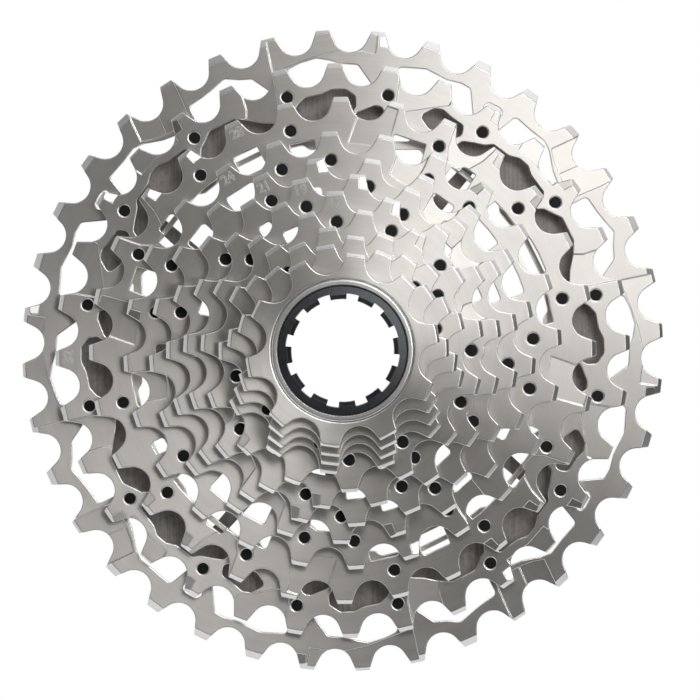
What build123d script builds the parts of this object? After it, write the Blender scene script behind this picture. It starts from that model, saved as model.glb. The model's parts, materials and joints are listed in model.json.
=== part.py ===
from build123d import *
import math
import os

# Twelve-speed bicycle cassette, 10 to 36 teeth, for a threaded-and-splined freehub driver.
#
# Row frame: the spin axis is Y. +Y points inboard, to the wheel; -Y points outboard, to the smallest cog.
# The origin is on the axis, in the plane of the carrier's hub-side face. +Z is up and +X is to the right
# of a viewer who looks at the small cog.
#
# The cassette is worked out in a bench frame, which has the same axis along +Z with the small cog on top,
# and each finished piece is then turned into the row frame. Angles run anticlockwise from +X as seen from
# the small cog. Millimetres and degrees throughout.

# ---- chain and cog stack ----
CHAIN_PITCH = 12.7
ROLLER_SEAT_R = 3.97        # radius of the round bottom of a tooth gap
COG_T = 1.6                 # thickness of a cog plate
COG_STEP = 3.55             # front face to front face of neighbouring cogs
FIRST_FRONT = 4.0           # height of the largest cog's front face above the hub-side face
TOOTH_RISE = 1.22           # how far a tip stands above the pitch circle on the largest cog
TIP_SLOPE = 0.58            # fall of a tip's front chamfer for each millimetre outwards

# ---- pins ----
PIN_R = 1.25
PIN_SHOULDER_R = 1.75       # spacer shoulder between two plates
PIN_CLEAR = 0.01
PIN_RECESS = 0.22           # how far a pin's end sits below the face
RING_R = 1.52               # outer radius of the countersink around a pin
BOSS_R = 2.9                # metal around a pin
PIN_HEAD = 0.32             # height and slant of the head behind the larger cog

# ---- lock tube, its collar and its snap ring ----
TUBE_R = 14.0
PILOT_R = 12.9              # smooth bore that runs on the driver's nose
PILOT_LOW = 14.0
THREAD_R = 15.0             # minor radius of the thread, shown plain
THREAD_LEN = 9.0
TUBE_REAR = 3.2
TUBE_BELL_R = 16.0
TUBE_BELL_TOP = 13.0
TOOL_MINOR_R = 11.15
TOOL_MAJOR_R = 12.4
TOOL_LEAD_R = 11.95         # outer radius of the lead-in chamfer on the socket's teeth
TOOL_NOTCHES = 12
TOOL_NOTCH_ANGLE = 12.5
TOOL_PHASE = 19.7
TOOL_FLOOR = 36.0
TUBE_FRONT = 42.85
TUBE_FACE_DROP = 0.3        # the front face slopes down this far towards the collar
COLLAR_R = 15.42
COLLAR_SEAT = 40.4
SNAP_R = 15.2
SNAP_LOW, SNAP_HIGH = 33.6, 34.75
SNAP_GROOVE = 0.45          # depth of the ring's groove in the tube

# ---- carrier, the aluminium back plate ----
CARRIER_IN_R = 52.5
CARRIER_OUT_R = 61.2
CARRIER_LOW, CARRIER_HIGH = 0.4, 2.4
SPLINE_MINOR_R = 16.5
SPLINE_MAJOR_R = 17.5
SPLINE_TEETH = 24
SPOKES = ((65.0, -10.0), (83.0, 7.0))   # for one quarter: angle at the hub, and how far the outer end leans
SPOKE_HALF_IN, SPOKE_HALF_OUT = 2.3, 1.4    # half a spoke's width at the hub and at the rim
HUB_OUT_R = 21.0
HUB_FLANGE_R = 22.0
HUB_HIGH = 9.0
SPLINE_SLOT = 2.2           # width of a slot

# ---- small cluster ----
CLUSTER_BORE_R = 14.05
CLUSTER_RELIEF_R = 17.5
CLUSTER_RELIEF_TOP = 35.0
COUNTERBORE_R = 15.5

# tooth count: (angle of one tooth, angles of the pins to the larger neighbour, radius of their circle)
COGS = {
    36: (3.6, (), 0),
    32: (1.6, [12.35 + 22.5 * i for i in range(16)], 59.4),
    28: (0.45, [a + 90 * q for q in range(4) for a in (13.3, 39.0, 64.75)], 51.4),
    24: (3.5, [3.5, 48.5, 63.5, 93.5, 108.5, 153.5, 168.5, 213.5, 258.5, 273.5, 303.5, 348.5], 43.2),
    21: (12.45, [355.3, 46.7, 81.0, 115.3, 166.7, 218.1, 269.6, 303.9], 37.3),
    19: (9.36, [66.2 + 37.895 * i for i in range(9)], 33.15),
    17: (8.1, [0.0, 41.0, 67.8, 92.6, 134.9, 217.5, 303.8, 336.5], 28.6),
    15: (8.9, [30.0, 97.0, 152.5, 193.5, 235.5, 273.3, 303.3], 24.1),
    13: (14.0, [13.0, 41.0, 82.0, 125.0, 168.0, 218.0, 256.0, 318.5], 20.9),
    12: (23.6, (), 0),
    11: (1.4, (), 0),
    10: (10.3, (), 0),
}
LADDER = list(COGS)                 # from the largest to the smallest
CLUSTER = (13, 12, 11, 10)          # machined from one piece


def front(teeth):
    """Height of a cog's front face."""
    return FIRST_FRONT + COG_STEP * LADDER.index(teeth)


def pitch_r(teeth):
    """Radius of the circle that the chain's rollers sit on."""
    return CHAIN_PITCH / 2 / math.sin(math.pi / teeth)


def tip_r(teeth):
    """Small cogs have shorter teeth, so that the chain's links clear them."""
    return pitch_r(teeth) + TOOTH_RISE - 9.0 / teeth * 0.5


def at(radius, degrees, z=0.0):
    """The point at that radius and angle."""
    a = math.radians(degrees)
    return Vector(radius * math.cos(a), radius * math.sin(a), z)


def tooth_outline(teeth):
    """One closed wire: round seat, two straight flanks and a flat tip for each tooth."""
    phase, step = COGS[teeth][0], 360 / teeth
    open_angle = 26 if teeth > 16 else 30       # slope of a flank
    seat = math.radians(90 - open_angle)
    mid, tip = pitch_r(teeth), tip_r(teeth)
    across = ROLLER_SEAT_R * math.sin(seat)
    down = mid - ROLLER_SEAT_R * math.cos(seat)
    slope = math.tan(math.radians(open_angle))
    rise = tip * math.cos(math.radians(step / 2)) + 0.25 - down
    reach = across + slope * rise
    corners = []
    edges = []
    for i in range(teeth):
        gap = phase + step * (i + 0.5)

        def place(x, y):
            return Vector(x, y, 0).rotate(Axis.Z, gap - 90)

        left, right = place(-across, down), place(across, down)
        tip_left, tip_right = place(-reach, down + rise), place(reach, down + rise)
        edges += [
            Edge.make_line(tip_right, right),
            Edge.make_three_point_arc(right, place(0, mid - ROLLER_SEAT_R), left),
            Edge.make_line(left, tip_left),
        ]
        corners.append((tip_right, tip_left))
    for i in range(teeth):
        edges.append(Edge.make_line(corners[i][1], corners[(i + 1) % teeth][0]))
    return Wire(edges)


def rounded_loop(points, radius):
    """A closed wire through polar points (angle, radius), straight between them, each corner rounded as far
    as its two sides allow."""
    corners = [at(r, a) for a, r in points]
    count = len(corners)
    stations = []
    for i, corner in enumerate(corners):
        back = corners[i - 1] - corner
        ahead = corners[(i + 1) % count] - corner
        turn = math.radians(180 - back.get_angle(ahead))
        room = 0.45 * min(back.length, ahead.length)
        cut = min(radius * math.tan(turn / 2), room)
        if cut < 0.02:
            stations.append((corner, None, corner))
            continue
        bend = cut / math.tan(turn / 2)
        start, end = corner + back.normalized() * cut, corner + ahead.normalized() * cut
        inward = (back.normalized() + ahead.normalized()).normalized()
        middle = corner + inward * (math.hypot(bend, cut) - bend)
        stations.append((start, middle, end))
    edges = []
    for i, (start, middle, end) in enumerate(stations):
        if middle is not None:
            edges.append(Edge.make_three_point_arc(start, middle, end))
        following = stations[(i + 1) % count][0]
        if (following - end).length > 1e-4:
            edges.append(Edge.make_line(end, following))
    return Wire(edges)


def prism(face, low, high):
    """The solid between two heights over a flat face drawn at height 0."""
    return Solid.extrude(face, Vector(0, 0, high - low)).moved(Location((0, 0, low)))


def ring(outer, inner, low, high):
    """A plain flat ring."""
    return Solid.make_cylinder(outer, high - low, Plane((0, 0, low))) - Solid.make_cylinder(
        inner, high - low, Plane((0, 0, low)))


def turned(points):
    """The solid swept once round the axis by a closed outline of (radius, height) points."""
    outline = Wire.make_polygon([Vector(r, 0, z) for r, z in points], close=True)
    return Solid.revolve(Face(outline), 360, Axis.Z)


# ---- windows: polar outlines (angle, radius) for a quarter of a cog, repeated four times ----
# The largest cog is a rim with four kinds of arm in each quarter, which reach in to its neighbour's pins.
RIM_36 = [
    (11.2, 66.0), (10.3, 60.5), (11.0, 57.2), (14.0, 57.0), (15.3, 61.5), (18.6, 66.0),
    (21.2, 66.9), (23.6, 68.3), (26.2, 67.4), (28.6, 66.8), (32.2, 66.5),
    (32.7, 60.0), (33.4, 57.2), (36.4, 57.2), (36.6, 62.4), (40.6, 63.8), (44.0, 66.2), (46.0, 67.1),
    (49.0, 66.8), (53.5, 67.0),
    (54.8, 61.5), (55.6, 57.2), (59.2, 57.2), (60.7, 61.5), (64.0, 67.2), (66.0, 67.4),
    (69.0, 66.9), (73.5, 67.7), (79.0, 66.6),
    (77.6, 60.0), (78.4, 57.1), (81.8, 57.1), (83.6, 61.5), (87.0, 66.0), (90.5, 66.2), (92.7, 67.0),
    (95.2, 67.7), (98.4, 67.0),
]
NOTCH_36 = [(56.3, 63.0), (55.9, 66.2), (57.2, 66.7), (59.4, 66.5), (60.1, 65.4), (59.0, 62.8)]

# The second cog has closed windows between its arms, and straight ties between its own neighbour's pins.
WINDOWS_32 = [
    [(-3.2, 56.2), (-2.9, 58.4), (-0.6, 59.9), (2.5, 59.9), (4.8, 58.9), (8.4, 58.6), (10.2, 57.4),
     (12.1, 55.2), (9.9, 49.3), (2.0, 48.0), (-0.6, 48.0), (-1.4, 53.2)],
    [(16.1, 54.2), (19.5, 55.3), (22.2, 57.0), (25.4, 58.7), (31.2, 58.8), (33.0, 57.6), (35.0, 56.5),
     (36.4, 54.6), (35.4, 50.1), (16.9, 50.1)],
    [(38.8, 55.2), (37.3, 56.6), (37.8, 58.7), (42.8, 59.0), (44.9, 60.0), (47.3, 59.9), (49.6, 58.7),
     (53.8, 58.6), (55.2, 57.3), (57.4, 56.4), (60.2, 55.3), (61.6, 52.9), (61.2, 50.1),
     (43.3, 50.1), (42.9, 51.6)],
    [(62.4, 54.9), (61.0, 56.3), (61.7, 58.5), (65.0, 59.0), (67.3, 59.8), (69.2, 59.4), (71.8, 56.6),
     (68.8, 54.6)],
    [(80.2, 55.6), (81.0, 56.6), (82.6, 56.6), (86.8, 54.6), (87.5, 48.1), (84.0, 48.2), (76.0, 49.4),
     (70.5, 50.9), (76.0, 52.9), (79.4, 53.1)],
]

# The second cog's open middle: thin ties run straight from boss to boss, the longest where quarters meet.
MIDDLE_32 = [
    (9.3, 46.6), (11.0, 47.9), (15.6, 47.9), (17.3, 48.9), (35.0, 48.9), (36.7, 47.9), (41.3, 47.9),
    (43.0, 48.9), (60.7, 48.9), (62.4, 47.9), (67.0, 47.9), (68.8, 49.4), (80.0, 46.7), (90.0, 46.0),
]


def quarters(points):
    """The polar points of one quarter, repeated round the axis."""
    return [(a + 90 * q, r) for q in range(4) for a, r in points]


def window_wires_32():
    """Closed windows of the second cog, and the open middle inside its ties."""
    closed = [turned_points(shape, 90 * q) for q in range(4) for shape in WINDOWS_32]
    return [rounded_loop(shape, 1.1) for shape in closed] + [rounded_loop(quarters(MIDDLE_32), 1.5)]


# The middle cogs are open inside a plain radius, but for their pin bosses. Their windows reach further out:
# (first angle, last angle, top radius)
OPEN_R = {28: 44.0, 24: 37.5, 21: 33.5, 19: 29.5, 17: 25.4}
ARM_R = {28: 51.2, 24: 37.5, 21: 33.5, 19: 29.5, 17: 25.4}      # where the pin bosses' arms start
WINDOWS = {
    28: [(a + 90 * q, b + 90 * q, top) for q in range(4)
         for a, b, top in ((1.5, 15.6, 48.4), (33.2, 62.0, 48.6), (51.3, 56.8, 50.2))]
        + [(66.5, 76.8, 50.7), (156.5, 166.8, 50.7), (245.5, 249.0, 48.6), (335.5, 338.0, 48.6)],
    24: [(17.5, 28.0, 43.2), (34.5, 45.5, 42.8), (52.0, 60.0, 41.3), (118.0, 127.5, 43.4),
         (137.5, 145.5, 42.8), (178.0, 182.5, 42.4), (225.8, 233.3, 43.4),
         (238.0, 245.7, 43.4), (259.5, 267.5, 41.2), (283.0, 290.5, 41.2), (308.5, 316.0, 41.2),
         (318.5, 323.0, 43.2), (331.0, 338.0, 42.0)],
    21: [(17.5, 27.0, 37.4), (43.0, 52.0, 37.4), (97.5, 101.0, 37.2), (111.5, 117.0, 35.7),
         (119.5, 123.7, 37.4), (156.8, 160.5, 37.4), (284.0, 290.0, 37.4), (309.0, 315.5, 37.4)],
    19: [(20.0, 33.0, 33.3), (42.0, 54.0, 33.3), (119.5, 124.5, 33.3), (158.5, 165.5, 33.4),
         (245.5, 251.5, 31.9), (271.5, 279.0, 33.4), (308.0, 317.0, 33.4)],
    17: [(27.0, 36.0, 29.4), (77.0, 84.0, 29.4), (109.5, 117.0, 29.4), (231.5, 240.0, 27.8),
         (255.0, 267.0, 28.1), (287.0, 294.0, 27.8)],
}
# closed windows: (first angle, last angle, low radius, top radius)
SLOTS = {
    28: [(21.0, 31.5, 45.8, 49.8), (110.5, 119.7, 45.4, 50.5), (205.8, 213.0, 45.5, 48.6),
         (291.5, 299.6, 45.8, 50.4)],
    21: [(138.3, 143.5, 35.9, 37.5)],
    15: [(109.3, 116.8, 22.2, 25.3), (138.9, 145.2, 22.3, 25.0)],
    13: [(128.0, 135.0, 19.4, 21.4)],
}


def sector(first, last, low, high, corner=0.8):
    """A rounded window between two angles and two radii."""
    steps = max(1, round((last - first) / 7))
    angles = [first + (last - first) * i / steps for i in range(steps + 1)]
    return rounded_loop([(a, low) for a in angles] + [(a, high) for a in reversed(angles)], corner)


def boss(angle, radius, rim, low, high):
    """The metal round one pin and the foot that joins it to the rim."""
    disc = Solid.make_cylinder(BOSS_R, high - low, Plane(at(radius, angle, low)))
    if radius + 1 > rim:
        return disc
    foot = math.degrees((BOSS_R + 1.2) / rim)
    narrow = math.degrees(BOSS_R * 0.9 / radius)
    outline = Wire.make_polygon(
        [at(rim + 1, angle - foot), at(radius, angle - narrow),
         at(radius, angle + narrow), at(rim + 1, angle + foot)], close=True)
    return disc + prism(Face(outline), low, high)


def opened_middle(teeth, blank, low, high):
    """Open the inside of a middle-sized cog, but for the metal round its own pins and its neighbour's."""
    smaller = LADDER[LADDER.index(teeth) + 1]
    rim = OPEN_R[teeth]
    openings = [(first, last, rim - 1.5, top) for first, last, top in WINDOWS[teeth]] + SLOTS.get(teeth, [])
    cutters = [prism(Face(sector(*opening)), low - 1, high + 1) for opening in openings]
    cutters.append(Solid.make_cylinder(rim, 4, Plane((0, 0, low - 1))))
    metal = [boss(a, COGS[teeth][2], 0, low, high) for a in COGS[teeth][1]]
    metal += [boss(a, COGS[smaller][2], ARM_R[teeth], low, high) for a in COGS[smaller][1]]
    return (blank - cutters) + metal


def plate(teeth):
    """A cog's flat blank: teeth outside, windows inside."""
    outer = tooth_outline(teeth)
    high = front(teeth)
    low = high - COG_T
    if teeth in OPEN_R:
        return opened_middle(teeth, prism(Face(outer), low, high), low, high)
    if teeth == 36:
        inner = [rounded_loop(quarters(RIM_36), 1.0)]
        inner += [rounded_loop([(a + 90 * q, r) for a, r in NOTCH_36], 0.8) for q in range(4)]
    elif teeth == 32:
        inner = window_wires_32()
    else:
        inner = [Wire.make_circle(17.6)] + [sector(*slot) for slot in SLOTS[15]]
    return prism(Face(outer, inner), low, high)


def facet(points, high, depth, tilt=0.0, toward=0.0):
    """A cutter for a shallow pocket in a front face: a polar outline whose floor lies at that depth under
    its middle and falls away at `tilt` degrees in the direction `toward`."""
    corners = [at(r, a) for a, r in points]
    middle = sum(corners, Vector(0, 0, 0)) / len(corners)
    outline = Face(Wire.make_polygon([c - middle for c in corners], close=True))
    cutter = Solid.extrude(outline, Vector(0, 0, 4.0))
    axle = at(1.0, toward + 90)
    return cutter.rotate(Axis((0, 0, 0), axle), tilt).moved(Location(middle + Vector(0, 0, high - depth)))


def flank(teeth, tooth, side):
    """A cutter for the ramp on one flank of a tooth, which the chain's link slides in over. `side` is -1
    for the clockwise flank."""
    angle = COGS[teeth][0] + 360 / teeth * tooth
    tip, low = tip_r(teeth), pitch_r(teeth) - 2.2
    near, far = math.degrees(0.15 / tip), math.degrees(4.6 / tip)
    points = [(angle + side * near, tip + 1), (angle + side * far, tip + 1),
              (angle + side * far, low), (angle + side * near * 4, low)]
    if side < 0:
        points.reverse()
    return facet(points, front(teeth), 0.42, 9, angle + side * 90)


# pockets and ramps for one repeat of each shifting pattern: (points, depth, tilt, direction of fall)
POCKETS_36 = [
    ([(-6.3, 69.0), (-3.0, 69.2), (0.5, 69.3), (5, 68.3), (10, 66.9), (14.2, 66.0), (13.9, 75.5),
      (-6.5, 75.5)],
     0.42, 1.2, 15),
    ([(32.2, 75.0), (32.5, 70.5), (33.4, 64.2), (36.2, 63.6), (39.2, 64.4), (38.2, 68.7), (37.2, 75.0)],
     0.45, 1.2, 55),
    ([(37.1, 75.0), (38.2, 68.7), (39.2, 64.4), (42.0, 65.5), (44.0, 67.0), (42.4, 73.0), (42.0, 75.0)],
     0.75, 1.0, 10),
]
POCKETS_32 = [
    ([(15.9, 54.4), (17.6, 53.4), (22.9, 55.0), (22.9, 56.8), (21.8, 59.4), (21.4, 66.5), (14.3, 66.5),
      (14.6, 59.4)],
     0.34, 1.6, 112),
    ([(66.5, 61.2), (70.0, 59.2), (75.3, 56.6), (77.8, 57.2), (78.2, 66.5), (66.0, 66.5)], 0.42, 1.4, 75),
    ([(38.2, 61.0), (44.0, 61.4), (48.8, 61.2), (49.4, 66.5), (37.8, 66.5)], 0.26, 1.5, 45),
]
POCKETS_28 = [
    ([(77.0, 56.3), (77.3, 50.1), (81.0, 47.2), (88.5, 47.4), (86.5, 53.1), (84.0, 57.5)], 0.17, 2.0, 110),
    ([(52.5, 58.5), (53.5, 53.5), (55.0, 50.6), (58.0, 48.8), (61.0, 49.4), (62.5, 52.0),
      (63.4, 58.5)], 0.45, 2.5, 60),
]
POCKET_24 = [(66.0, 45.4), (66.6, 40.6), (70.5, 40.2), (75.0, 41.3), (74.4, 46.5), (69.5, 49.8),
             (66.0, 49.8)]
POCKET_21 = [(50.0, 39.5), (51.0, 35.2), (56.0, 35.0), (60.0, 36.4), (60.0, 43.6), (50.5, 43.6)]
POCKET_19 = [(32.0, 35.3), (33.0, 31.4), (38.5, 31.2), (43.0, 32.5), (43.0, 39.4), (32.5, 39.4)]
POCKET_17 = [(12.4, 31.2), (13.2, 27.6), (17.5, 27.4), (20.5, 28.6), (20.5, 35.4), (12.6, 35.4)]


def turned_points(points, angle):
    """The polar points, turned round the axis."""
    return [(a + angle, r) for a, r in points]


def shift_cutters(teeth):
    """Every pocket and ramp in a cog's front face."""
    high = front(teeth)
    cutters = []
    if teeth in (36, 32, 28):
        pockets = {36: POCKETS_36, 32: POCKETS_32, 28: POCKETS_28}[teeth]
        for q in range(4):
            for points, depth, tilt, toward in pockets:
                cutters.append(facet(turned_points(points, 90 * q), high, depth, tilt, toward + 90 * q))
        ramps = {36: [(0, -1), (8, -1)], 32: [(3, 1), (5, -1), (6, -1)], 28: [(3, -1), (4, -1)]}[teeth]
        for tooth, side in ramps:
            cutters += [flank(teeth, tooth + teeth // 4 * q, side) for q in range(4)]
    elif teeth == 24:
        for turn in (0, 120, 240):
            cutters.append(facet(turned_points(POCKET_24, turn), high, 0.5, 3, 75 + turn))
            cutters.append(flank(24, 3 + turn // 15, 1))
    elif teeth == 21:
        for turn in (0, 189.4):
            cutters.append(facet(turned_points(POCKET_21, turn), high, 0.5, 3, 60 + turn))
        cutters += [flank(21, tooth, -1) for tooth in (5, 16)]
    elif teeth == 19:
        for turn in (0, 190.5):
            cutters.append(facet(turned_points(POCKET_19, turn), high, 0.5, 3, 45 + turn))
        cutters += [flank(19, tooth, -1) for tooth in (4, 13)]
    elif teeth == 17:
        for turn in (0, 191.5):
            cutters.append(facet(turned_points(POCKET_17, turn), high, 0.5, 3, 25 + turn))
        cutters += [flank(17, tooth, -1) for tooth in (3, 12)]
    elif teeth == 15:
        cutters += [flank(15, tooth, -1) for tooth in (2, 9)]
    return cutters


def topped(blank, teeth, low, high):
    """Take the slanted chamfers off the tips, a broad one in front and a small one behind."""
    tip = tip_r(teeth)
    broad = 1.5 if teeth == 36 else 0.95
    lathe = turned([
        (0.01, low - 1), (tip - 0.6 - 1, low - 1), (tip - 0.6, low), (tip + 1, low + 1.1),
        (tip + 1, high - TIP_SLOPE * (broad + 1)), (tip - broad, high), (tip - broad - 1, high + 1),
        (0.01, high + 1)])
    return blank & lathe


def pin_holes(angles, radius, low, high):
    """Cutters for one circle of pin holes, with the bright countersink at their front."""
    cutters = []
    for a in angles:
        seat = at(radius, a)
        cutters.append(Solid.make_cylinder(
            PIN_R + PIN_CLEAR, high - low + 2, Plane(seat + Vector(0, 0, low - 1))))
        cutters.append(Solid.make_cone(
            PIN_R + PIN_CLEAR, RING_R, 0.2, Plane(seat + Vector(0, 0, high - 0.2))))
    return cutters


def cog(teeth):
    """A finished stamped cog."""
    high = front(teeth)
    low = high - COG_T
    body = topped(plate(teeth), teeth, low, high)
    smaller = LADDER[LADDER.index(teeth) + 1]
    cutters = shift_cutters(teeth)
    cutters += pin_holes(COGS[teeth][1], COGS[teeth][2], low, high)
    cutters += pin_holes(COGS[smaller][1], COGS[smaller][2], low, high)
    return body - cutters


def cluster():
    """The four smallest cogs, turned and milled from one piece."""
    body = None
    for teeth in CLUSTER:
        high = front(teeth)
        layer = topped(prism(Face(tooth_outline(teeth)), high - COG_T, high), teeth, high - COG_T, high)
        if teeth != CLUSTER[0]:
            neck = pitch_r(teeth) - ROLLER_SEAT_R - 0.9
            body += Solid.make_cylinder(neck, COG_STEP - COG_T, Plane((0, 0, high - COG_STEP)))
            body += layer
        else:
            body = layer
    top = front(10)
    low = front(13) - COG_T
    body -= Solid.make_cylinder(CLUSTER_BORE_R, 30, Plane((0, 0, low - 1)))
    body -= Solid.make_cylinder(CLUSTER_RELIEF_R, CLUSTER_RELIEF_TOP - low + 1, Plane((0, 0, low - 1)))
    body -= Solid.make_cylinder(COUNTERBORE_R, 5, Plane((0, 0, COLLAR_SEAT)))
    body -= Solid.make_cone(COUNTERBORE_R, COUNTERBORE_R + 0.1, 0.1, Plane((0, 0, top - 0.1)))
    body -= [prism(Face(sector(*slot)), low - 1, front(13) + 0.5) for slot in SLOTS[13]]
    return body - pin_holes(COGS[13][1], COGS[13][2], low, front(13))


def pins(larger, smaller):
    """One circle of shouldered pins, each its own solid, from behind the larger cog into the smaller."""
    _, angles, radius = COGS[smaller]
    back = CARRIER_LOW if larger == 36 else front(larger) - COG_T
    solids = []
    for a in angles:
        spot = at(radius, a)
        shank_top = front(smaller) - PIN_RECESS
        pin = Solid.make_cylinder(PIN_R, shank_top - back, Plane(spot + Vector(0, 0, back)))
        pin += Solid.make_cylinder(
            PIN_SHOULDER_R, COG_STEP - COG_T, Plane(spot + Vector(0, 0, front(larger))))
        pin += Solid.make_cone(
            PIN_SHOULDER_R - PIN_HEAD, PIN_SHOULDER_R, PIN_HEAD,
            Plane(spot + Vector(0, 0, back - PIN_HEAD)))
        solids.append(pin)
    return Compound(children=solids)


def carrier_hub():
    """The splined alloy hub that sits on the driver, with a flange the spokes start from."""
    body = Solid.make_cylinder(HUB_OUT_R, HUB_HIGH) + Solid.make_cylinder(HUB_FLANGE_R, CARRIER_HIGH)
    cutters = [Solid.make_cylinder(SPLINE_MINOR_R, HUB_HIGH)]
    corner = Plane((SPLINE_MAJOR_R - SPLINE_SLOT, -SPLINE_SLOT / 2, -1))
    for i in range(SPLINE_TEETH):
        slot = Solid.make_box(SPLINE_SLOT, SPLINE_SLOT, HUB_HIGH + 2, corner)
        cutters.append(slot.rotate(Axis.Z, 360 / SPLINE_TEETH * i))
    return body - cutters


def carrier_spokes():
    """Eight thin spokes, each a separate solid that meets the hub's flange and the rim face to face."""
    between = ring(CARRIER_IN_R, HUB_FLANGE_R, CARRIER_LOW, CARRIER_HIGH)
    solids = []
    for turn in (0, 90, 180, 270):
        for angle, lean in SPOKES:
            foot, head = at(HUB_OUT_R, angle + turn), at(CARRIER_IN_R + 1, angle + turn + lean)
            side = (head - foot).normalized().rotate(Axis.Z, 90)
            outline = Wire.make_polygon([
                foot - side * SPOKE_HALF_IN, head - side * SPOKE_HALF_OUT,
                head + side * SPOKE_HALF_OUT, foot + side * SPOKE_HALF_IN], close=True)
            solids += (prism(Face(outline), CARRIER_LOW, CARRIER_HIGH) & between).solids()
    return Compound(children=solids)


def carrier_rim():
    """The carrier's flat rim, which holds the largest cog's pins."""
    rim = ring(CARRIER_OUT_R, CARRIER_IN_R, CARRIER_LOW, CARRIER_HIGH)
    return rim - pin_holes(COGS[32][1], COGS[32][2], CARRIER_LOW, CARRIER_HIGH)


def lock_tube():
    """The black tube that draws the cassette on to the driver: thread behind, tool socket in front."""
    wall = turned([
        (TUBE_BELL_R, TUBE_REAR), (TUBE_BELL_R, TUBE_BELL_TOP), (TUBE_R, TUBE_BELL_TOP + 2.6),
        (TUBE_R, SNAP_LOW), (TUBE_R - SNAP_GROOVE, SNAP_LOW), (TUBE_R - SNAP_GROOVE, SNAP_HIGH),
        (TUBE_R, SNAP_HIGH), (TUBE_R, TUBE_FRONT - TUBE_FACE_DROP - 0.2),
        (TUBE_R - 0.2, TUBE_FRONT - TUBE_FACE_DROP), (TOOL_LEAD_R, TUBE_FRONT),
        (TOOL_MINOR_R, TUBE_FRONT - 0.9), (TOOL_MINOR_R, TOOL_FLOOR),
        (PILOT_R, TOOL_FLOOR), (PILOT_R, PILOT_LOW),
        (THREAD_R, TUBE_REAR + THREAD_LEN), (THREAD_R, TUBE_REAR)])
    half = TOOL_NOTCH_ANGLE / 2
    notches = []
    for i in range(TOOL_NOTCHES):
        turn = TOOL_PHASE + 360 / TOOL_NOTCHES * i
        inner, outer = TOOL_MINOR_R - 1.5, TOOL_MAJOR_R
        outline = Wire([
            Edge.make_line(at(inner, turn - half), at(outer, turn - half)),
            Edge.make_three_point_arc(at(outer, turn - half), at(outer, turn), at(outer, turn + half)),
            Edge.make_line(at(outer, turn + half), at(inner, turn + half)),
            Edge.make_line(at(inner, turn + half), at(inner, turn - half)),
        ])
        notches.append(prism(Face(outline), TOOL_FLOOR - 1, TUBE_FRONT + 1))
    return wall - notches


def tube_collar():
    """The bright ring round the tube's front end, with a rounded outer lip."""
    top = front(10) + 0.1
    round_r = 0.55
    seat_in, seat_out = Vector(TUBE_R, 0, COLLAR_SEAT), Vector(COLLAR_R, 0, COLLAR_SEAT)
    side_top = Vector(COLLAR_R, 0, top - round_r)
    knee = Vector(COLLAR_R - round_r * (1 - math.sqrt(0.5)), 0, top - round_r * (1 - math.sqrt(0.5)))
    lip_out = Vector(COLLAR_R - round_r, 0, top)
    lip_in, root = Vector(TUBE_R + 0.2, 0, top), Vector(TUBE_R, 0, top - 0.35)
    outline = Wire([
        Edge.make_line(seat_in, seat_out), Edge.make_line(seat_out, side_top),
        Edge.make_three_point_arc(side_top, knee, lip_out), Edge.make_line(lip_out, lip_in),
        Edge.make_line(lip_in, root), Edge.make_line(root, seat_in),
    ])
    return Solid.revolve(Face(outline), 360, Axis.Z)


def snap_ring():
    """The open spring ring in the tube's groove, which keeps the tube in the cassette."""
    whole = ring(SNAP_R, TUBE_R - 0.4, SNAP_LOW + 0.03, SNAP_HIGH - 0.03)
    mouth = Wire.make_polygon([at(8, 265), at(20, 248), at(20, 292), at(8, 275)], close=True)
    return whole - prism(Face(mouth), SNAP_LOW - 1, SNAP_HIGH + 1)


def save(name, shape):
    """Turn a piece from the bench frame into the row frame and write it."""
    shape = shape.rotate(Axis.X, 90)
    if not shape.is_valid:
        print("not valid:", name)
    export_step(shape, f"parts/{name}.step")


os.makedirs("parts", exist_ok=True)
for teeth in LADDER:
    if teeth not in CLUSTER:
        save(f"cog_{teeth}t", cog(teeth))
save("small_cog_cluster", cluster())
for larger, smaller in zip(LADDER[:8], LADDER[1:9]):
    save(f"pins_{larger}_{smaller}", pins(larger, smaller))
save("carrier_hub", carrier_hub())
save("carrier_spokes", carrier_spokes())
save("carrier_rim", carrier_rim())
save("lock_tube", lock_tube())
save("tube_collar", tube_collar())
save("snap_ring", snap_ring())
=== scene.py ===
"""Looks of a twelve-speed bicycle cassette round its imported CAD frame. Metres. The spin axis is Y, the small
cogs face -Y, +Z is up. Every visible surface is procedural."""
import json
import math

import bpy
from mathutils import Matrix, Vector


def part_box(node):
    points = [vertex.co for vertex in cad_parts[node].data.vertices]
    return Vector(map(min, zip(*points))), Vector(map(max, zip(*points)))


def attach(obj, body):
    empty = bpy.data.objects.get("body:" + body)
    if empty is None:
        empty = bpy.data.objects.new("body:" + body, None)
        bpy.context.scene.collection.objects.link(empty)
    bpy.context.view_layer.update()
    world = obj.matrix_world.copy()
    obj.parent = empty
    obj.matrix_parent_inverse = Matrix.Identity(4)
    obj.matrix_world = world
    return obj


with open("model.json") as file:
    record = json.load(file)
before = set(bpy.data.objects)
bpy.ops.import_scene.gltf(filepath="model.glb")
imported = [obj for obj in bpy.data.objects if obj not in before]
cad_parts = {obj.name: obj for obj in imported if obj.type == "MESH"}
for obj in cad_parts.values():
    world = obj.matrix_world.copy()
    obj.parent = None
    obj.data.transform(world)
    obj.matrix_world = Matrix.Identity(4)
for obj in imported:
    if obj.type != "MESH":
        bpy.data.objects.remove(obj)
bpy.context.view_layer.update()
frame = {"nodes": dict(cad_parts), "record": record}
nodes = frame["nodes"]

# ---- view, as the photograph was taken: straight down the spin axis from the small-cog side ----
FACE_Y = -0.0040            # front face of the largest cog
CAMERA_GAP = 0.576          # camera to that face
SENSOR = 36.0
LENS = 128.4
SHIFT = (0.0104, 0.0006)    # the object sits a little left of the frame's centre

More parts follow.
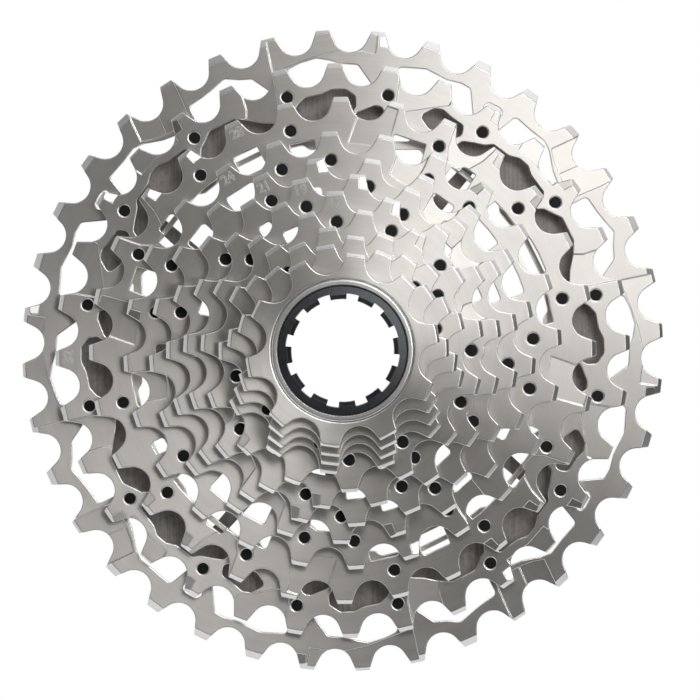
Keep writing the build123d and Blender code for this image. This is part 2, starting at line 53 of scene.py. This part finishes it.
# ---- setting ----
FLOOR_Z = -0.45
FLOOR_SIZE = 1.5
FLOOR_BACK = 0.5            # the floor lies mostly behind the object, so that the chamfers don't mirror it
LAMP_REACH, LAMP_SIZE, LAMP_TILT = 1.0, 0.30, 24

# The soft boxes: (azimuth, watts). Most stand in a quarter ring, so that the turned grain throws a bright
# wedge up to the right and a fainter one opposite it. Two weak ones fill in on the left.
SOFT_BOXES = ((0, 0.76), (30, 1.0), (60, 1.16), (90, 0.32), (125, 0.14), (235, 0.06))

# The room. It is dark behind the camera, for the flat faces. Round the sides stand paler panels, which the
# chamfers and edges mirror: (azimuth, glow), with azimuths as for the lights. The wheel's side is bright.
FRONT_GLOW, REAR_GLOW = 0.05, 1.0
PANELS = ((-180, 0.48), (-138, 0.62), (-124, 0.90), (-113, 1.0), (-102, 0.65), (-88, 0.44), (-76, 0.36),
          (-64, 0.6), (-55, 0.8), (-45, 0.38), (-32, 0.34), (-21, 0.22), (-10, 0.09), (2, 0.07), (13, 0.16),
          (26, 0.65), (38, 0.5), (50, 0.85), (71, 0.95), (82, 0.9), (92, 0.5), (104, 0.45), (116, 0.27),
          (137, 0.26), (150, 0.38), (166, 0.50), (180, 0.48))
# Depths at which one zone gives way to the next, from 0 at the camera's side to 1 at the wheel's side.
PANELS_FROM, PANELS_FULL = 0.15, 0.21
REAR_FROM, REAR_FULL = 0.52, 0.68

# ---- tooth counts: (count, angle round the axis, radius in millimetres) ----
STAMPS = ((32, 181.4, 62.9), (28, 116.0, 55.0), (24, 123.8, 46.7), (21, 115.8, 40.7), (19, 104.8, 36.9),
          (17, 93.0, 32.6))
MM = 0.001
STAMP_HEIGHT = 2.4 * MM
STAMP_STROKE = 0.10 * MM
STAMP_FLATTEN = 0.5         # how far the round stroke is pressed flat on the face
FONT_FILL = 1.38            # the built-in font's size for figures of height 1
FONT_SPACING = 0.92

# ---- finishes ----
NICKEL = (0.745, 0.714, 0.678)
# Painted highlight: edges and tooth-tip chamfers are coloured near white, standing in for the bright lines the
# light draws along them.
EDGE_HIGHLIGHT_PAINT = (0.97, 0.965, 0.95, 1)
EDGE_ROUGH = 0.22
HIGHLIGHT_FROM, HIGHLIGHT_FULL = 0.003, 0.03      # how far the rounded normal turns away where a painted highlight is laid on an edge
CHAMFER_FACING = (0.5, 0.96)            # a chamfer's normal along the axis lies between these
CLOUDS, SPECKS = 160.0, 900.0           # noise scales of the tumbling marks and of the anodised surface
# Circular grain: lines a metre, and changes a radian.
FINE_GRAIN, BROAD_GRAIN, ALLOY_GRAIN = (9000.0, 1.6), (700.0, 0.9), (6000.0, 1.5)
UPRIGHT_GRAIN = (2600.0, 2600.0, 90.0)  # straight grain drawn out along Z


def material(name):
    """A new node material, and its node tree with only the surface shader and output."""
    made = bpy.data.materials.new(name)
    made.use_nodes = True
    tree = made.node_tree
    tree.nodes.clear()
    out = tree.nodes.new("ShaderNodeOutputMaterial")
    shader = tree.nodes.new("ShaderNodeBsdfPrincipled")
    tree.links.new(shader.outputs["BSDF"], out.inputs["Surface"])
    return made, tree, shader


def node(tree, kind, links=(), **settings):
    """Add a node. settings are its attributes; links are (input name or index, source socket or value)."""
    made = tree.nodes.new(kind)
    for key, value in settings.items():
        setattr(made, key, value)
    for key, value in links:
        if isinstance(value, bpy.types.NodeSocket):
            tree.links.new(value, made.inputs[key])
        else:
            made.inputs[key].default_value = value
    return made


def maths(tree, operation, *values):
    return node(tree, "ShaderNodeMath", list(enumerate(values)), operation=operation).outputs[0]


def ramp(tree, value, stops):
    """A colour ramp from (position, grey or colour) stops."""
    made = node(tree, "ShaderNodeValToRGB", [("Fac", value)])
    made.color_ramp.elements.remove(made.color_ramp.elements[0])
    for i, (place, colour) in enumerate(stops):
        item = made.color_ramp.elements[0] if i == 0 else made.color_ramp.elements.new(place)
        item.position = place
        item.color = (colour, colour, colour, 1) if isinstance(colour, float) else (*colour, 1)
    return made.outputs["Color"]


def round_the_axis(tree):
    """Sockets for a point's place round the spin axis: radius, angle, depth, and the outward vector."""
    place = node(tree, "ShaderNodeTexCoord").outputs["Object"]
    parts = node(tree, "ShaderNodeSeparateXYZ", [(0, place)])
    x, y, z = parts.outputs
    squares = maths(tree, "ADD", maths(tree, "MULTIPLY", x, x), maths(tree, "MULTIPLY", z, z))
    radius = maths(tree, "SQRT", squares)
    angle = maths(tree, "ARCTAN2", z, x)
    outward = node(tree, "ShaderNodeCombineXYZ", [(0, x), (1, 0.0), (2, z)]).outputs[0]
    return radius, angle, y, outward


def grain(tree, radius, angle, y, fineness, seed):
    """Noise drawn out along circles round the axis."""
    across, along = fineness
    vector = node(tree, "ShaderNodeCombineXYZ", [
        (0, maths(tree, "MULTIPLY", radius, across)), (1, maths(tree, "MULTIPLY", angle, along)),
        (2, maths(tree, "MULTIPLY_ADD", y, across, seed))]).outputs[0]
    return node(tree, "ShaderNodeTexNoise", [
        ("Vector", vector), ("Scale", 1.0), ("Detail", 4.0), ("Roughness", 0.6)]).outputs["Fac"]


def edge_mask(tree, soft_normal):
    """How near a point is to a rounded edge: 0 on a flat face, 1 where the rounded normal has turned away."""
    true_normal = node(tree, "ShaderNodeNewGeometry").outputs["True Normal"]
    same = node(tree, "ShaderNodeVectorMath", [(0, soft_normal), (1, true_normal)], operation="DOT_PRODUCT")
    turned = maths(tree, "SUBTRACT", 1.0, same.outputs["Value"])
    return node(tree, "ShaderNodeMapRange", [
        ("Value", turned), ("From Min", HIGHLIGHT_FROM), ("From Max", HIGHLIGHT_FULL)]).outputs["Result"]


def chamfer_mask(tree):
    """1 on a tooth tip's slanted chamfer, 0 on flat faces and on walls."""
    true_normal = node(tree, "ShaderNodeNewGeometry").outputs["True Normal"]
    facing = maths(tree, "ABSOLUTE", node(tree, "ShaderNodeSeparateXYZ", [(0, true_normal)]).outputs[1])
    least, most = CHAMFER_FACING
    slanted = maths(tree, "LESS_THAN", facing, most)
    return maths(tree, "MULTIPLY", slanted, maths(tree, "GREATER_THAN", facing, least))


def rounded(tree, radius, samples):
    """The surface normal with every edge rounded to a radius."""
    return node(tree, "ShaderNodeBevel", [("Radius", radius)], samples=samples).outputs[0]


def roughened(tree, shader, normal, height, strength, distance):
    """Give a shader the normal, with a fine relief on it."""
    bump = node(tree, "ShaderNodeBump", [
        ("Strength", strength), ("Distance", distance), ("Height", height), ("Normal", normal)])
    tree.links.new(bump.outputs[0], shader.inputs["Normal"])


def blend(tree, kind, factor, low, high):
    """Mix two colours or two floats by a factor."""
    made = node(tree, "ShaderNodeMix", data_type=kind)
    first, second = (6, 7) if kind == "RGBA" else (2, 3)
    for index, value in ((0, factor), (first, low), (second, high)):
        if isinstance(value, bpy.types.NodeSocket):
            tree.links.new(value, made.inputs[index])
        else:
            made.inputs[index].default_value = value
    return made.outputs[2 if kind == "RGBA" else 0]


def turned_steel(name, colour, rough, anisotropy, seed, edge=0.26 * MM, metallic=1.0):
    """Bright metal with a circular grain, faint tumbling marks, and a painted highlight: rounded edges and
    tooth-tip chamfers coloured near white.
    """
    made, tree, shader = material(name)
    radius, angle, y, outward = round_the_axis(tree)
    fine = grain(tree, radius, angle, y, FINE_GRAIN, seed)
    broad = grain(tree, radius, angle, y, BROAD_GRAIN, seed + 7.0)
    place = node(tree, "ShaderNodeTexCoord").outputs["Object"]
    clouds = node(tree, "ShaderNodeTexNoise", [
        ("Vector", place), ("Scale", CLOUDS), ("Detail", 3.0), ("Roughness", 0.55)]).outputs["Fac"]
    shade = maths(tree, "ADD", maths(tree, "MULTIPLY", fine, 0.35), maths(tree, "ADD",
                  maths(tree, "MULTIPLY", broad, 0.3), maths(tree, "MULTIPLY", clouds, 0.35)))
    dark = tuple(c * 0.9 for c in colour)
    light = tuple(min(1.0, c * 1.06) for c in colour)
    soft_edge = rounded(tree, edge, 8)
    # Painted highlight: on rounded edges and tooth-tip chamfers the colour turns near white, as the light
    # would make them look.
    highlight_paint_mask = maths(tree, "MAXIMUM", edge_mask(tree, soft_edge), chamfer_mask(tree))
    body_colour = ramp(tree, shade, [(0.32, dark), (0.68, light)])
    tree.links.new(blend(tree, "RGBA", highlight_paint_mask, body_colour, EDGE_HIGHLIGHT_PAINT), shader.inputs["Base Color"])
    shader.inputs["Metallic"].default_value = metallic
    body_rough = ramp(tree, shade, [(0.3, rough - 0.03), (0.7, rough + 0.03)])
    tree.links.new(blend(tree, "FLOAT", highlight_paint_mask, body_rough, EDGE_ROUGH), shader.inputs["Roughness"])
    tree.links.new(blend(tree, "FLOAT", highlight_paint_mask, anisotropy, 0.0), shader.inputs["Anisotropic"])
    tree.links.new(outward, shader.inputs["Tangent"])
    roughened(tree, shader, soft_edge, fine, 0.10, 0.04 * MM)
    return made


def dark_alloy(name, colour, rough, seed, vertical=False, edge=0.2 * MM):
    """Anodised aluminium: dark, satin, a faint grain, and edges rounded in the shading normal."""
    made, tree, shader = material(name)
    radius, angle, y, outward = round_the_axis(tree)
    place = node(tree, "ShaderNodeTexCoord").outputs["Object"]
    if vertical:
        stretched = node(tree, "ShaderNodeMapping", [("Vector", place), ("Scale", UPRIGHT_GRAIN)])
        lines = node(tree, "ShaderNodeTexNoise", [
            ("Vector", stretched.outputs[0]), ("Scale", 1.0), ("Detail", 4.0)]).outputs["Fac"]
    else:
        lines = grain(tree, radius, angle, y, ALLOY_GRAIN, seed)
    specks = node(tree, "ShaderNodeTexNoise", [
        ("Vector", place), ("Scale", SPECKS), ("Detail", 2.0)]).outputs["Fac"]
    mixed = maths(tree, "ADD", maths(tree, "MULTIPLY", lines, 0.6), maths(tree, "MULTIPLY", specks, 0.4))
    low = tuple(c * 0.75 for c in colour)
    high = tuple(c * 1.3 for c in colour)
    tree.links.new(ramp(tree, mixed, [(0.35, low), (0.65, high)]), shader.inputs["Base Color"])
    shader.inputs["Metallic"].default_value = 0.7
    tree.links.new(ramp(tree, mixed, [(0.3, rough - 0.05), (0.7, rough + 0.06)]), shader.inputs["Roughness"])
    roughened(tree, shader, rounded(tree, edge, 6), mixed, 0.15, 0.05 * MM)
    return made


finishes = {
    "cog_steel": turned_steel("cog_steel_look", NICKEL, 0.36, 0.85, 1.0, 0.38 * MM),
    "pin_black": dark_alloy("pin_black_look", (0.012, 0.012, 0.012), 0.5, 2.0),
    "carrier_alloy": dark_alloy("carrier_alloy_look", (0.27, 0.255, 0.245), 0.52, 3.0, vertical=True),
    "tube_alloy": dark_alloy("tube_alloy_look", (0.06, 0.065, 0.07), 0.38, 4.0),
    "collar_steel": turned_steel("collar_steel_look", (0.8, 0.79, 0.77), 0.30, 0.3, 5.0, 0.1 * MM),
    "ring_steel": dark_alloy("ring_steel_look", (0.16, 0.16, 0.16), 0.35, 6.0),
    "stamp": turned_steel("stamp_look", (0.95, 0.94, 0.92), 0.38, 0.0, 9.0, metallic=0.15),
}
slot_of = {item["node"]: item["material_slot"] for item in frame["record"]["subparts"]}
for name, piece in nodes.items():
    piece.data.materials.clear()
    piece.data.materials.append(finishes[slot_of[name]])


# ---- tooth counts stamped on the cogs ----
def stamped(count, angle, radius):
    """A number drawn as the raised outline of its figures, standing outwards on that cog's front face."""
    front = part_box(f"cog_{count}t")[0][1]
    data = bpy.data.curves.new(f"count_{count}_text", "FONT")
    data.body = str(count)
    data.align_x, data.align_y = "CENTER", "CENTER"
    data.size = STAMP_HEIGHT * FONT_FILL
    data.space_character = FONT_SPACING
    data.fill_mode = "NONE"
    data.bevel_depth = STAMP_STROKE
    data.bevel_resolution = 1
    text = bpy.data.objects.new(f"count_{count}_text", data)
    bpy.context.collection.objects.link(text)
    bpy.context.view_layer.update()
    mesh = bpy.data.meshes.new_from_object(text.evaluated_get(bpy.context.evaluated_depsgraph_get()))
    bpy.data.objects.remove(text)
    a = math.radians(angle)
    outward, along = Vector((math.cos(a), 0, math.sin(a))), Vector((math.sin(a), 0, -math.cos(a)))
    centre = outward * radius + Vector((0, front, 0))
    for point in mesh.vertices:
        x, y, z = point.co
        point.co = centre + along * x + outward * y + Vector((0, -z * STAMP_FLATTEN, 0))
    mesh.materials.clear()
    mesh.materials.append(finishes["stamp"])
    piece = bpy.data.objects.new(f"stamped_{count}", mesh)
    bpy.context.collection.objects.link(piece)
    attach(piece, "cassette")


for count, angle, radius in STAMPS:
    stamped(count, angle, radius * MM)


# ---- lights ----
def soft_box(azimuth, power):
    """A square soft light. azimuth is its angle round the spin axis, anticlockwise from +X as the camera sees
    it. It stands LAMP_TILT degrees off the axis, where 0 is in front of the object and 90 beside it."""
    name = f"soft_box_{azimuth}"
    a, t = math.radians(azimuth), math.radians(LAMP_TILT)
    spot = Vector((math.cos(a) * math.sin(t), -math.cos(t), math.sin(a) * math.sin(t))) * LAMP_REACH
    data = bpy.data.lights.new(name, "AREA")
    data.shape = "SQUARE"
    data.size = LAMP_SIZE
    data.energy = power
    lamp = bpy.data.objects.new(name, data)
    lamp.location = spot
    lamp.rotation_mode = "QUATERNION"
    lamp.rotation_quaternion = (-spot).to_track_quat("-Z", "Y")
    bpy.context.collection.objects.link(lamp)


for azimuth, power in SOFT_BOXES:
    soft_box(azimuth, power)

# ---- room ----
world = bpy.data.worlds.new("studio")
bpy.context.scene.world = world
world.use_nodes = True
tree = world.node_tree
tree.nodes.clear()
heading = node(tree, "ShaderNodeSeparateXYZ", [(0, node(tree, "ShaderNodeTexCoord").outputs["Generated"])])
depth = maths(tree, "MULTIPLY_ADD", heading.outputs[1], 0.5, 0.5)
beside = node(tree, "ShaderNodeMapRange", [
    ("Value", depth), ("From Min", PANELS_FROM), ("From Max", PANELS_FULL)]).outputs["Result"]
around = maths(tree, "ARCTAN2", heading.outputs[2], heading.outputs[0])
panels = ramp(tree, maths(tree, "MULTIPLY_ADD", around, 1 / math.tau, 0.5),
              [((azimuth + 180) / 360, glow) for azimuth, glow in PANELS])
sides = blend(tree, "RGBA", beside, (FRONT_GLOW, FRONT_GLOW, FRONT_GLOW, 1), panels)
behind = node(tree, "ShaderNodeMapRange", [
    ("Value", depth), ("From Min", REAR_FROM), ("From Max", REAR_FULL)]).outputs["Result"]
glow = blend(tree, "RGBA", behind, sides, (REAR_GLOW, REAR_GLOW, REAR_GLOW, 1))
lit = node(tree, "ShaderNodeBackground", [("Color", glow), ("Strength", 1.0)]).outputs[0]
seen = node(tree, "ShaderNodeBackground", [("Color", (1, 1, 1, 1)), ("Strength", 1.0)]).outputs[0]
camera_ray = node(tree, "ShaderNodeLightPath").outputs["Is Camera Ray"]
mixed = node(tree, "ShaderNodeMixShader", [(0, camera_ray), (1, lit), (2, seen)])
node(tree, "ShaderNodeOutputWorld", [("Surface", mixed.outputs[0])])

# ---- floor ----
bpy.ops.mesh.primitive_grid_add(
    x_subdivisions=2, y_subdivisions=2, size=FLOOR_SIZE, location=(0, FLOOR_BACK, FLOOR_Z))
floor = bpy.context.object
floor.name = "floor"
pale, tree, shader = material("pale_floor")
speck = node(tree, "ShaderNodeTexNoise", [("Scale", 60.0), ("Detail", 3.0)]).outputs["Fac"]
tree.links.new(ramp(tree, speck, [(0.3, 0.80), (0.7, 0.84)]), shader.inputs["Base Color"])
shader.inputs["Roughness"].default_value = 0.9
floor.data.materials.append(pale)

# ---- camera ----
camera_data = bpy.data.cameras.new("camera")
camera_data.sensor_width = SENSOR
camera_data.lens = LENS
camera_data.shift_x, camera_data.shift_y = SHIFT
camera_data.clip_start, camera_data.clip_end = 0.01, 20.0
camera = bpy.data.objects.new("camera", camera_data)
camera.location = (0, FACE_Y - CAMERA_GAP, 0)
camera.rotation_euler = (math.radians(90), 0, 0)
bpy.context.collection.objects.link(camera)
bpy.context.scene.camera = camera

bpy.context.scene.view_settings.view_transform = "Standard"
